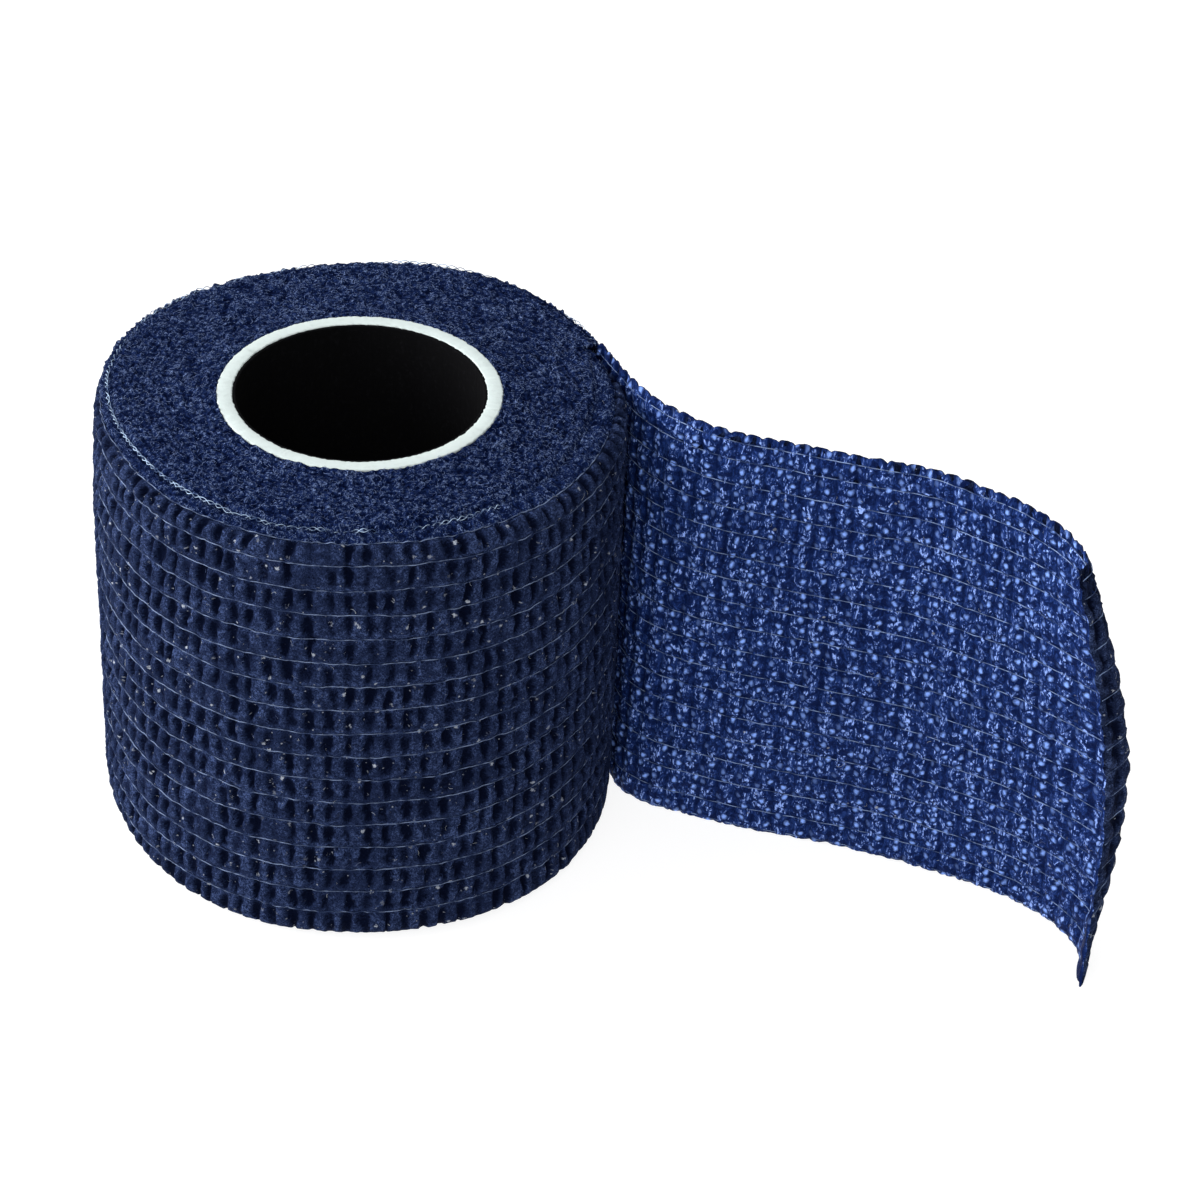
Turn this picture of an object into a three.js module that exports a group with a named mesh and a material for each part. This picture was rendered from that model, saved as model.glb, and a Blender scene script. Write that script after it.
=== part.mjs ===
// A roll of cohesive bandage: crêped elastic cloth wound on a paperboard core, with its loose end
// pulled off to one side. The roll stands on end and the loose end stands on its lower edge.
// Millimetres, +Z up. +Y points away from the viewer, and the loose end runs towards +X.

import * as THREE from "three";
import { mergeVertices } from "three/addons/utils/BufferGeometryUtils.js";

// Cloth
const CLOTH_WIDTH = 50;
const THREAD_COUNT = 17;
const THREAD_PITCH = 2.94;
const THREAD_MARGIN = (CLOTH_WIDTH - (THREAD_COUNT - 1) * THREAD_PITCH) / 2;
const PUFF = 0.2; // how far each side of the cloth swells between two elastic threads
const SHEET_THICKNESS = 1; // free cloth, measured along a thread

// Core
const CORE_OUTER_RADIUS = 14.84;
const CORE_WALL = 1.52;
const CORE_LENGTH = 50.8;
const CORE_EDGE = 0.15; // chamfer of the cut ends
const PLY_WALL = 0.35;
const PLY_LIFT = 0.3; // the black ply stops this far from both ends of the core
const GAP = 0.3; // clearance between neighbours

// Wound cloth
const BORE_RADIUS = CORE_OUTER_RADIUS + GAP;
const TOP_RIM_ROUND = 1;
const FOOT_RIM_ROUND = 1.5;
const RIM_FALL = 0.06; // the end faces fall this far between their last ring and the rim
const LEAVING_ANGLE = 23; // degrees, where the outermost turn lifts off
const COLUMNS = 72; // steps round the roll

// Outside radius of the roll by the angle back from the leaving line: the loosened outermost turn
const OUTLINE = [
  { back: 0, radius: 28.1 },
  { back: 14, radius: 28.3 },
  { back: 32, radius: 28.9 },
  { back: 47, radius: 29.0 },
  { back: 67, radius: 28.75 },
  { back: 90, radius: 28.35 },
  { back: 135, radius: 28.3 },
  { back: 157, radius: 28.15 },
  { back: 180, radius: 27.9 },
  { back: 205, radius: 28.05 },
  { back: 230, radius: 28.2 },
  { back: 250, radius: 28.1 },
  { back: 270, radius: 28.2 },
  { back: 292, radius: 28.1 },
  { back: 314, radius: 27.85 },
  { back: 337, radius: 27.75 },
  { back: 343, radius: 27.6 },
  { back: 350, radius: 27.0 },
  { back: 360, radius: 26.6 },
];

// Height of the upper end face by radius: the cloth creeps up beside the core
const TOP_FACE = [
  { radius: 25.2, height: CLOTH_WIDTH },
  { radius: 21.5, height: CLOTH_WIDTH + 0.08 },
  { radius: 18, height: CLOTH_WIDTH + 0.2 },
  { radius: 16.2, height: CLOTH_WIDTH + 0.35 },
  { radius: BORE_RADIUS, height: CLOTH_WIDTH + 0.3 },
];
const FOOT_RINGS = [BORE_RADIUS, 20.2, 25.2];

// Where the middle of the loose end starts, clear of the step that the outermost turn leaves
const ROOT_ANGLE = THREE.MathUtils.degToRad(LEAVING_ANGLE - 0.65);
const ROOT_RADIUS = 27.6;
const ROOT = { x: ROOT_RADIUS * Math.cos(ROOT_ANGLE), y: ROOT_RADIUS * Math.sin(ROOT_ANGLE) };

// Middle of the loose end in plan, from the roll to the cut: its lower edge (x, y), its upper edge
// (x, y), and how far its middle height bellies out towards +X
const LOOSE_END = [
  { lowX: ROOT.x, lowY: ROOT.y, highX: ROOT.x, highY: ROOT.y, belly: 0 },
  { lowX: 27.45, lowY: 6.2, highX: 27.3, highY: 6.4, belly: 0 },
  { lowX: 28.65, lowY: 2.0, highX: 28.95, highY: 2.8, belly: 0 },
  { lowX: 29.4, lowY: -1.6, highX: 31.0, highY: -0.2, belly: 0 },
  { lowX: 32.0, lowY: -4.4, highX: 34.3, highY: -3.6, belly: 0 },
  { lowX: 36.2, lowY: -6.5, highX: 38.6, highY: -6.4, belly: 0 },
  { lowX: 41.2, lowY: -8.6, highX: 43.2, highY: -8.2, belly: 0 },
  { lowX: 46.9, lowY: -10.3, highX: 47.9, highY: -10.0, belly: 0 },
  { lowX: 52.7, lowY: -12.2, highX: 52.9, highY: -11.9, belly: 0 },
  { lowX: 58.4, lowY: -14.4, highX: 58.2, highY: -14.0, belly: 0 },
  { lowX: 63.7, lowY: -17.0, highX: 63.0, highY: -17.1, belly: 0 },
  { lowX: 68.5, lowY: -19.9, highX: 66.9, highY: -20.1, belly: 0.3 },
  { lowX: 72.1, lowY: -22.9, highX: 69.5, highY: -23.6, belly: 0.9 },
  { lowX: 74.6, lowY: -26.1, highX: 70.8, highY: -27.0, belly: 2.4 },
  { lowX: 75.7, lowY: -30.2, highX: 71.1, highY: -29.8, belly: 4.0 },
  { lowX: 74.7, lowY: -35.0, highX: 69.7, highY: -31.7, belly: 2.4 },
];
const STEPS_PER_ROW = 2;
const BELLY_SHARPNESS = 1.2;

// Finishes
const cloth = { color: 0x1c2a58, roughness: 0.95, metalness: 0 };
const paperboard = { color: 0xe6efea, roughness: 0.85, metalness: 0 };
const blackPaper = { color: 0x080808, roughness: 0.8, metalness: 0 };

// A value of a table at a place between two of its rows
function readTable(rows, key, value, place) {
  const next = Math.max(1, rows.findIndex((row) => row[key] >= place));
  const [low, high] = [rows[next - 1], rows[next]];
  return THREE.MathUtils.mapLinear(place, low[key], high[key], low[value], high[value]);
}

// Heights across the cloth: both edges, each elastic thread, and the crest between two threads
function heightsAcross() {
  const heights = [{ height: 0, puff: 0 }];
  for (let thread = 0; thread < THREAD_COUNT; thread++) {
    const height = THREAD_MARGIN + thread * THREAD_PITCH;
    heights.push({ height, puff: 0 });
    if (thread < THREAD_COUNT - 1) heights.push({ height: height + THREAD_PITCH / 2, puff: PUFF });
  }
  heights.push({ height: CLOTH_WIDTH, puff: 0 });
  return heights;
}

// How far a rounded rim draws in at a distance from the edge
function rimInset(round, distance) {
  const up = Math.max(0, round - distance);
  return round - Math.sqrt(round * round - up * up);
}

// One closed surface through rows of like outlines. A ring of rows closes on itself, and otherwise
// the first and last rows are capped across their two long sides.
function skinThrough(outlines, ring) {
  const count = outlines[0].length;
  const positions = outlines.flat().flatMap((point) => point.toArray());
  const index = [];
  const addQuad = (a, b, c, d) => index.push(a, b, c, a, c, d);
  const rows = ring ? outlines.length : outlines.length - 1;
  for (let row = 0; row < rows; row++) {
    const here = row * count;
    const there = ((row + 1) % outlines.length) * count;
    for (let k = 0; k < count; k++) {
      const next = (k + 1) % count;
      addQuad(here + k, there + k, there + next, here + next);
    }
  }
  if (!ring) {
    const last = (outlines.length - 1) * count;
    for (let k = 0; k < count / 2 - 1; k++) {
      addQuad(k, k + 1, count - 2 - k, count - 1 - k);
      addQuad(last + k, last + count - 1 - k, last + count - 2 - k, last + k + 1);
    }
  }
  const skin = new THREE.BufferGeometry();
  skin.setAttribute("position", new THREE.Float32BufferAttribute(positions, 3));
  skin.setIndex(index);
  return weld(skin);
}

// Merges points that coincide and drops the triangles that close up with them
function weld(geometry) {
  const welded = mergeVertices(geometry, 1e-4);
  const kept = [];
  for (let i = 0; i < welded.index.count; i += 3) {
    const [a, b, c] = [0, 1, 2].map((corner) => welded.index.getX(i + corner));
    if (a !== b && b !== c && c !== a) kept.push(a, b, c);
  }
  welded.setIndex(kept);
  welded.computeVertexNormals();
  return welded;
}

// A tube round +Z with chamfered ends
function tube(outerRadius, wall, floor, top) {
  const inner = outerRadius - wall;
  const edge = Math.min(CORE_EDGE, wall / 3);
  const profile = [
    [inner + edge, floor],
    [outerRadius - edge, floor],
    [outerRadius, floor + edge],
    [outerRadius, top - edge],
    [outerRadius - edge, top],
    [inner + edge, top],
    [inner, top - edge],
    [inner, floor + edge],
    [inner + edge, floor],
  ].map(([radius, height]) => new THREE.Vector2(radius, height));
  const lathe = new THREE.LatheGeometry(profile, COLUMNS);
  lathe.rotateX(Math.PI / 2);
  return lathe;
}

// The wound cloth: one section per column, from the bore out along the foot, up the side over the
// rows between the threads, and back in along the upper face. The last column meets the first in
// the step where the outermost turn leaves.
function woundCloth() {
  const side = heightsAcross();
  const outlines = [];
  for (let column = 0; column <= COLUMNS; column++) {
    const back = (column * 360) / COLUMNS;
    const angle = THREE.MathUtils.degToRad(LEAVING_ANGLE + back);
    const radius = readTable(OUTLINE, "back", "radius", back);
    const section = FOOT_RINGS.map((ring) => [ring, 0]);
    section.push([radius - FOOT_RIM_ROUND, RIM_FALL]);
    for (const { height, puff } of side.slice(1, -1)) {
      const foot = rimInset(FOOT_RIM_ROUND, height);
      const rim = rimInset(TOP_RIM_ROUND, CLOTH_WIDTH - height);
      section.push([radius - PUFF + puff - foot - rim, height]);
    }
    section.push([radius - TOP_RIM_ROUND / 4, CLOTH_WIDTH - TOP_RIM_ROUND / 2]);
    section.push([radius - TOP_RIM_ROUND, CLOTH_WIDTH - RIM_FALL]);
    for (const { radius: ring, height } of TOP_FACE) section.push([ring, height]);
    const [cos, sin] = [Math.cos(angle), Math.sin(angle)];
    outlines.push(section.map(([r, z]) => new THREE.Vector3(r * cos, r * sin, z)));
  }
  return skinThrough(outlines, true);
}

// The loose end: a sheet on smooth curves through its lower and upper edges, bellied between them
function looseEnd() {
  const lowEdge = new THREE.CatmullRomCurve3(
    LOOSE_END.map(({ lowX, lowY }) => new THREE.Vector3(lowX, lowY, 0)),
  );
  const highEdge = new THREE.CatmullRomCurve3(
    LOOSE_END.map(({ highX, highY, belly }) => new THREE.Vector3(highX, highY, belly)),
  );
  const stations = (LOOSE_END.length - 1) * STEPS_PER_ROW;
  const middleAt = (station, height) => {
    const along = THREE.MathUtils.clamp(station / stations, 0, 1);
    const up = height / CLOTH_WIDTH;
    const high = highEdge.getPoint(along);
    const point = lowEdge.getPoint(along).lerp(high, up);
    point.x += high.z * Math.sin(Math.PI * up) ** BELLY_SHARPNESS;
    point.z = height;
    return point;
  };
  const outwardAt = (station, height) => {
    const ahead = middleAt(station + 0.5, height).sub(middleAt(station - 0.5, height));
    return new THREE.Vector3(-ahead.y, ahead.x, 0).normalize();
  };
  const outlines = [];
  for (let station = 0; station <= stations; station++) {
    const faceAt = (side) =>
      heightsAcross().map(({ height, puff }) => {
        const offset = side * (SHEET_THICKNESS / 2 + puff);
        return middleAt(station, height).addScaledVector(outwardAt(station, height), offset);
      });
    outlines.push([...faceAt(-1), ...faceAt(1).reverse()]);
  }
  return skinThrough(outlines, false);
}

function piece(name, geometry, finish) {
  const mesh = new THREE.Mesh(geometry, new THREE.MeshStandardMaterial(finish));
  mesh.name = name;
  return mesh;
}

const roll = new THREE.Group();
roll.add(piece("core_tube", tube(CORE_OUTER_RADIUS, CORE_WALL, 0, CORE_LENGTH), paperboard));
const plyRadius = CORE_OUTER_RADIUS - CORE_WALL - GAP;
roll.add(piece("core_inner_ply", tube(plyRadius, PLY_WALL, PLY_LIFT, CORE_LENGTH - PLY_LIFT), blackPaper));
roll.add(piece("wound_cloth", woundCloth(), cloth));
roll.add(piece("loose_end", looseEnd(), cloth));

// The origin is the middle of the footprint, on the surface that the roll stands on
const footprint = new THREE.Box3().setFromObject(roll).getCenter(new THREE.Vector3());
roll.position.set(-footprint.x, -footprint.y, 0);

const part = new THREE.Group();
part.add(roll);

export default part;
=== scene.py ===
# A roll of cohesive bandage standing on end, with its loose end pulled off to one side: the crinkled
# cloth, its elastic threads, its lint and its paperboard core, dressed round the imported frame.
# The tables and the pattern of the cloth are in millimetres, and MM turns them into metres.

import math

import bpy
import numpy as np
from bpy.props import FloatProperty, FloatVectorProperty, IntProperty, PointerProperty
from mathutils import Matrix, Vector


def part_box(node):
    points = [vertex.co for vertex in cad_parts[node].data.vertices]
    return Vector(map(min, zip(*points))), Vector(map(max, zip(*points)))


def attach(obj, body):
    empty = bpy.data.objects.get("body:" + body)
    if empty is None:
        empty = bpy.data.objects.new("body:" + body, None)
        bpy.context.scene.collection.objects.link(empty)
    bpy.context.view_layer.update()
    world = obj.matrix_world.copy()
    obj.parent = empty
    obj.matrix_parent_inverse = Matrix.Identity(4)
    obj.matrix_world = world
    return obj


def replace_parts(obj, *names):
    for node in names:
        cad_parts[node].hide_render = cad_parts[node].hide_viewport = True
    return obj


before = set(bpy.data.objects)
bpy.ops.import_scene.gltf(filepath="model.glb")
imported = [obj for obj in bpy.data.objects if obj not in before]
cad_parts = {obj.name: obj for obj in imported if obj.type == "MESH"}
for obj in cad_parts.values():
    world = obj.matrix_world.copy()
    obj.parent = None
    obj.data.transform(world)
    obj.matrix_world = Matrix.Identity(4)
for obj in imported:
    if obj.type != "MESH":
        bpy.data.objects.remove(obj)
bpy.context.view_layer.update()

bl_info = {
    "name": "Cohesive bandage roll",
    "version": (1, 0, 0),
    "blender": (4, 5, 0),
    "location": "View3D > Sidebar > Bandage",
    "description": "Builds a roll of crinkled cohesive bandage with its loose end pulled off",
    "category": "Add Mesh",
}

MM = 0.001
BODY = "root"

# Places taken from the frame
CORE_LOW, CORE_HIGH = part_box("core_tube")
AXIS = (CORE_LOW + CORE_HIGH) / 2 / MM
CORE_RADIUS = (CORE_HIGH.x - CORE_LOW.x) / 2 / MM
CORE_TOP = CORE_HIGH.z / MM
TAPE_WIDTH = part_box("loose_end")[1].z / MM

# Elastic threads by their height on the cloth: one on its lower edge, full rows, and a narrow row
# below the thread beside the upper edge
LOW_ROW = 2.85
FULL_ROWS = 15
TOP_ROW = 2.2
TOP_EDGE = 0.75
THREAD_PITCH = (TAPE_WIDTH - LOW_ROW - TOP_ROW - TOP_EDGE) / FULL_ROWS
THREAD_UP = np.concatenate(
    [[0], LOW_ROW + THREAD_PITCH * np.arange(FULL_ROWS + 1), [TAPE_WIDTH - TOP_EDGE]])
ROWS = len(THREAD_UP) - 1

# The line where the outermost turn leaves the roll, in degrees from +X
LEAVING_ANGLE = 23

# Outside radius by the angle back from the leaving line
OUTLINE = [
    (0, 28.1), (14, 28.4), (32, 29.0), (47, 29.0), (67, 28.65), (90, 28.3), (115, 28.5), (135, 28.45),
    (157, 28.0), (180, 27.6), (205, 27.8), (230, 28.15), (250, 28.1), (270, 28.2), (292, 28.1),
    (314, 27.85), (337, 27.75), (343, 27.6), (350, 27.0), (360, 26.6),
]

# Distance between two turns on the end faces
TURN_PITCH = 0.62

# Height of the upper end face by radius: the cloth creeps up beside the core
TOP_FACE = [(14.8, 50.75), (16.2, 50.58), (18, 50.27), (21.5, 50.08), (25.2, 50), (28, 49.95)]

# The rim, by the angle back from the leaving line: its height, its rounding, and how far the side
# leans in towards it. Then the rounding of the foot.
RIM_TOP = [(0, 50.4), (15, 50.7), (45, 50.7), (65, 50.3), (90, 50.1), (110, 50.4), (135, 50.5),
           (165, 50.3), (360, 50.3)]
TOP_RIM = [(0, 0.7), (25, 1.4), (60, 1.7), (105, 1.5), (135, 1.5), (160, 2.3), (185, 2.7), (210, 2.4),
           (240, 2.1), (300, 1.9), (340, 1.65), (350, 1.1), (360, 0.5)]
TOP_LEAN = [(0, 0), (120, 0), (150, 0.6), (180, 1.2), (210, 0.8), (240, 0.2), (260, 0), (360, 0)]
LEAN_START = 36
FOOT_RIM = [(0, 1.4), (150, 2.5), (185, 2.4), (205, 1.8), (247, 2.2), (270, 1.9), (290, 1.3), (315, 0.9),
            (330, 0.7), (345, 0.7), (360, 1.0)]
FOOT_INSET = 2.3

# How far the outermost turn has climbed the roll, at its lower and at its upper edge. The turn
# below shows under it, and lies a little deeper.
LOW_CLIMB = [(0, 0.25), (40, 1.5), (100, 2.8), (157, 3.2), (192, 3.3), (220, 3.6), (247, 3.95),
             (275, 3.8), (300, 3.9), (360, 3.9)]
TOP_CLIMB = [(0, 0.25), (60, 0.8), (150, 1.3), (180, 1.5), (192, 1.8), (209, 2.6), (247, 4.2),
             (275, 4.6), (300, 4.3), (337, 3.4), (350, 2.2), (360, 0.7)]
CLIMB_START = 40
BELOW_DEPTH = 0.12
CREST_DEPTH = 0.25

# Where the two threads nearest the rim sink into the cloth, in degrees back from the leaving line.
# The rim's own thread lies sunk round the back, and shows in dashes before it ends.
RIM_THREAD_SHOWS = 138
RIM_THREAD_SINKS = 222
RIM_THREAD_END = 284
NEXT_THREAD_END = 322

# Middle of the loose end in plan, from the roll to the cut: low edge x and y, high edge x and y,
# and how far the middle of the width bellies out
ROOT_ANGLE = math.radians(LEAVING_ANGLE - 0.65)
ROOT_RADIUS = 27.6
ROOT = (ROOT_RADIUS * math.cos(ROOT_ANGLE), ROOT_RADIUS * math.sin(ROOT_ANGLE))
LOOSE_END = [
    (*ROOT, *ROOT, 0),
    (27.45, 5.2, 27.3, 6.2, 0),
    (28.2, 0.3, 28.95, 2.5, 0),
    (29.1, -2.3, 31.0, -0.6, 0),
    (32.1, -4.9, 34.3, -4.0, 0),
    (36.2, -6.7, 38.6, -6.7, 0),
    (41.2, -8.8, 43.2, -8.3, 0),
    (46.9, -10.5, 47.9, -10.0, 0),
    (52.7, -12.4, 52.9, -11.8, 0),
    (58.4, -14.8, 58.2, -13.5, 0),
    (63.7, -17.4, 63.0, -16.8, 0),
    (68.6, -20.3, 66.9, -20.0, 0.3),
    (72.2, -23.3, 69.5, -23.5, 0.9),
    (74.7, -26.5, 70.9, -26.8, 2.4),
    (76.1, -30.7, 71.3, -29.7, 4.1),
    (75.2, -35.4, 70.0, -31.6, 2.5),
]
BELLY_SHARPNESS = 1.2

# Steps across one row of the cloth, as parts of it, and steps from the foot to the cloth's lower edge.
# The latter run from -1 to 0, which stands for about this height of the turn below.
ROW_STEPS = [0, 0.12, 0.3, 0.5, 0.7, 0.88]
FOOT_STEPS = [-0.98, -0.85, -0.7, -0.52, -0.35, -0.2, -0.06]
BELOW_HEIGHT = 4

# Layers of noise that make the cloth uneven, each its share, its size and its seed
PIT_STRAY = [(0.26, 0.8, 11), (0.2, 0.4, 12)]
ROW_STRAY = [(0.15, 0.9, 13)]
CRUMPLE = [(0.4, 0.6, 28), (0.45, 0.35, 29)]
OUTER_LUMPS = [(0.09, 0.5, 21), (0.07, 1.7, 22)]
INNER_LUMPS = [(0.12, 0.5, 25), (0.08, 1.3, 26)]
FURROW_STRAY = [(0.1, 1.2, 23), (0.06, 0.5, 27)]
FURROW_WEAR = [(0.35, 1.9, 24)]
TURN_STRAY = [(0.45, 0.95, 31), (0.2, 0.5, 32)]
TURN_LUMPS = [(0.2, 0.75, 33), (0.36, 0.4, 34)]
CUT_STRAY = [(0.35, 0.8, 41)]
SCALLOP_STRAY = [(0.1, 0.6, 42)]
TWIST_STRAY = [(0.25, 4, 51)]
THREAD_SAG = [(0.13, 3.4, 52), (0.05, 1.1, 53)]
THREAD_DEPTH = [(0.3, 2.6, 54)]

# Where the hidden walls of the shells lie
SHELL_WALL = 5.2
TOP_SEAT = TAPE_WIDTH - 1.6
FOOT_SEAT = 1.4

# End faces: how high the turns are raised of 1, what a turn's ridge adds, and the depth in all
RAISED = 0.6
TURN_RIDGE = 0.13
TURN_DEPTH = 0.42

# Edges of the loose end: its scallops, how far they reach in, and how far the cut is ragged
SCALLOP = 0.36
SCALLOP_REACH = 0.6
CUT_REACH = 3

# Shade on the inner face of the loose end, each its depth and its reach: below the top edge, beside
# the cut, and beside the roll, where it also fades out over this reach below a height
TOP_SHADE = (0.4, 0.6)
CUT_SHADE = (0.55, 2.6)
ROLL_SHADE = (0.55, 10)
ROLL_SHADE_HEIGHT = 46

# Lowest height that catches lint
LINT_FROM = 0.8

# The camera, from the roll's axis in millimetres, in radians, and its sensor in millimetres
CAMERA_PLACE = (0.084, -324.256, 257.496)
CAMERA_TURN = (0.94808597, -0.03756585, -0.05216255)
SENSOR_WIDTH = 36

# Half of the floor's width, in metres
FLOOR_REACH = 3


# Properties

def length(name, description, default, low, high):
    """A length in metres, from its values in millimetres."""
    return FloatProperty(
        name=name, description=description, default=default * MM, min=low * MM, max=high * MM,
        unit="LENGTH", precision=6)


def colour(name, description, *default):
    return FloatVectorProperty(
        name=name, description=description, default=default, subtype="COLOR", min=0, max=1)


class BandageCloth(bpy.types.PropertyGroup):
    """Sizes and colours of the crinkled cloth"""

    pit_pitch: length("Crinkle pitch", "Distance between two pits", 2.0, 1, 5)
    pit_width: length("Pit width", "Width of a pit along the cloth", 1.02, 0.3, 3)
    pit_depth: length("Pit depth", "How far a pit lies below the ridges beside it", 0.6, 0, 1)
    swell: length("Row swell", "How far a row bulges between two elastic threads", 0.36, 0, 1)
    thickness: length("Thickness", "Thickness of the loose end along a thread", 1.0, 0.3, 3)
    column_step: length("Mesh step", "Length of one mesh column along the cloth", 0.21, 0.1, 2)
    seed: IntProperty(name="Seed", description="Seed of the uneven crinkles", default=7, min=0)
    # The pits' colour is painted shade deep in the crinkles
    pit_shade_colour: colour("Pits", "Colour deep in the crinkles", 0.0022, 0.0040, 0.0150)
    base_colour: colour("Cloth", "Usual colour of the outer face", 0.0120, 0.0200, 0.0565)
    fibre_colour: colour("Fibres", "Colour of the fibres that catch the light", 0.062, 0.095, 0.222)
    fleck_colour: colour("Flecks", "Colour of the palest flecks", 0.42, 0.46, 0.54)
    # Painted shade in the inner face's furrows, below its top edge, beside its cut and beside the roll
    inner_furrow_shade_colour: colour("Inner furrows", "Colour deep in the inner face", 0.0020, 0.0070, 0.047)
    inner_colour: colour("Inner face", "Usual colour of the inner face", 0.0165, 0.0435, 0.190)
    inner_fibre_colour: colour("Inner fibres", "Colour of the inner face's fibres", 0.300, 0.450, 0.96)
    # The bond points' pale blue is their own colour and partly a painted highlight
    bond_and_highlight_colour: colour("Bond points", "Colour of the pressed dots on the inner face", 0.23, 0.39, 0.95)
    # The end gaps' colour is painted shade between the turns
    end_gap_shade_colour: colour("End gaps", "Colour of the gaps on the end faces", 0.0008, 0.0033, 0.024)
    end_colour: colour("End faces", "Usual colour of the end faces", 0.0112, 0.0250, 0.096)
    end_fibre_colour: colour("End fibres", "Colour of the fibres on the end faces", 0.180, 0.255, 0.480)


class BandageThread(bpy.types.PropertyGroup):
    """Sizes and colours of the elastic threads and the lint"""

    radius: length("Thread radius", "Radius of an elastic thread on the roll", 0.058, 0.02, 0.5)
    loose_radius: length("Loose radius", "Radius of a thread on the loose end", 0.052, 0.02, 0.5)
    strand_radius: length("Strand radius", "Radius of a strand of the rim's thread", 0.044, 0.02, 0.5)
    wobble: length("Wobble", "How far a thread strays from its line", 0.16, 0, 1)
    colour: colour("Thread", "Colour of the threads on the roll", 0.105, 0.140, 0.23)
    loose_colour: colour("Loose threads", "Colour of the threads on the loose end", 0.135, 0.190, 0.33)
    rim_colour: colour("Rim thread", "Colour of the thread along the rim", 0.27, 0.36, 0.50)
    lint_radius: length("Lint radius", "Radius of a stray fibre", 0.022, 0.005, 0.2)
    lint_curl: length("Lint curl", "Radius of a stray fibre's curl", 0.3, 0.05, 3)
    lint_colour: colour("Lint", "Colour of the palest stray fibres", 0.33, 0.36, 0.40)


class BandageCore(bpy.types.PropertyGroup):
    """Sizes and colours of the paperboard core"""

    wall: length("Board wall", "Wall of the paperboard tube", 1.58, 0.5, 4)
    edge: length("Edge", "Rounding of the cut ends", 0.14, 0.02, 0.5)
    ragged: length("Raggedness", "How far the cut edge strays", 0.24, 0, 0.5)
    board_colour: colour("Board", "Colour of the paperboard", 0.53, 0.60, 0.59)
    ply_colour: colour("Inner ply", "Colour of the paper inside the core", 0.0025, 0.0025, 0.003)


class BandageStage(bpy.types.PropertyGroup):
    """Camera, floor and lights"""

    lens: FloatProperty(
        name="Lens", description="Focal length on a sensor 36 mm wide", default=111.41, min=10)
    front_power: FloatProperty(
        name="Front light", description="Power of the broad light in front", default=4.1, min=0)
    rim_power: FloatProperty(
        name="Rim light", description="Power of the low light at the back left", default=15.0, min=0)
    top_power: FloatProperty(
        name="Top light", description="Power of the light overhead", default=4.0, min=0)
    surround: FloatProperty(
        name="Surround", description="Strength of the light from all round", default=0.4, min=0)
    floor_glow: FloatProperty(
        name="Floor glow", description="Light that the floor gives off, as a light table does",
        default=0.86, min=0)
    floor_colour: colour("Floor", "Colour of the floor", 0.26, 0.26, 0.26)


# Reading tables and making noise

def read_smoothly(table, at):
    """Values of a two-column table at these places, on a smooth curve through its rows."""
    places, values = np.array(table, float).T
    slopes = np.gradient(values, places)
    row = np.clip(np.searchsorted(places, at, side="right") - 1, 0, len(places) - 2)
    gap = places[row + 1] - places[row]
    t = (at - places[row]) / gap
    start = (1 + 2 * t) * (1 - t) ** 2 * values[row] + t * (1 - t) ** 2 * gap * slopes[row]
    end = t * t * (3 - 2 * t) * values[row + 1] - t * t * (1 - t) * gap * slopes[row + 1]
    return start + end


def through_points(points, at):
    """Centripetal curve through points, read at places counted in points."""
    points = np.array(points, float)
    before, after = 2 * points[0] - points[1], 2 * points[-1] - points[-2]
    padded = np.vstack([before, points, after])
    row = np.clip(np.floor(at).astype(int), 0, len(points) - 2)
    p = [padded[row + step] for step in range(4)]
    t = (at - row)[:, None]
    gaps = [np.linalg.norm(b - a, axis=1, keepdims=True) ** 0.5 for a, b in zip(p, p[1:])]
    lead = (p[1] - p[0]) / gaps[0] - (p[2] - p[0]) / (gaps[0] + gaps[1])
    trail = (p[3] - p[2]) / gaps[2] - (p[3] - p[1]) / (gaps[1] + gaps[2])
    here = (p[2] - p[1]) / gaps[1]
    start, end = (lead + here) * gaps[1], (trail + here) * gaps[1]
    low = (1 + 2 * t) * (1 - t) ** 2 * p[1] + t * (1 - t) ** 2 * start
    high = t * t * (3 - 2 * t) * p[2] - t * t * (1 - t) * end
    return low + high


def grain(x, y, size, seed):
    """Smooth noise from -1 to 1 whose lumps are about this size."""
    count = 256
    table = np.random.default_rng(seed).uniform(-1, 1, (count, count))
    x, y = np.broadcast_arrays(x / size, y / size)
    column, row = np.floor(x).astype(int), np.floor(y).astype(int)
    across, up = x - column, y - row
    across, up = across * across * (3 - 2 * across), up * up * (3 - 2 * up)
    left, right = column % count, (column + 1) % count
    low, high = [table[left, level % count] * (1 - across) + table[right, level % count] * across
                 for level in (row, row + 1)]
    return low * (1 - up) + high * up


def fade(distance, reach):
    """1 at a line, and evenly less until 0 at this distance from it."""
    return np.clip(1 - distance / reach, 0, 1)


def grains(x, y, layers):
    """Sum of layers of smooth noise, each its share, its size and its seed."""
    return sum(share * grain(x, y, size, seed) for share, size, seed in layers)


# The crinkled cloth

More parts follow.
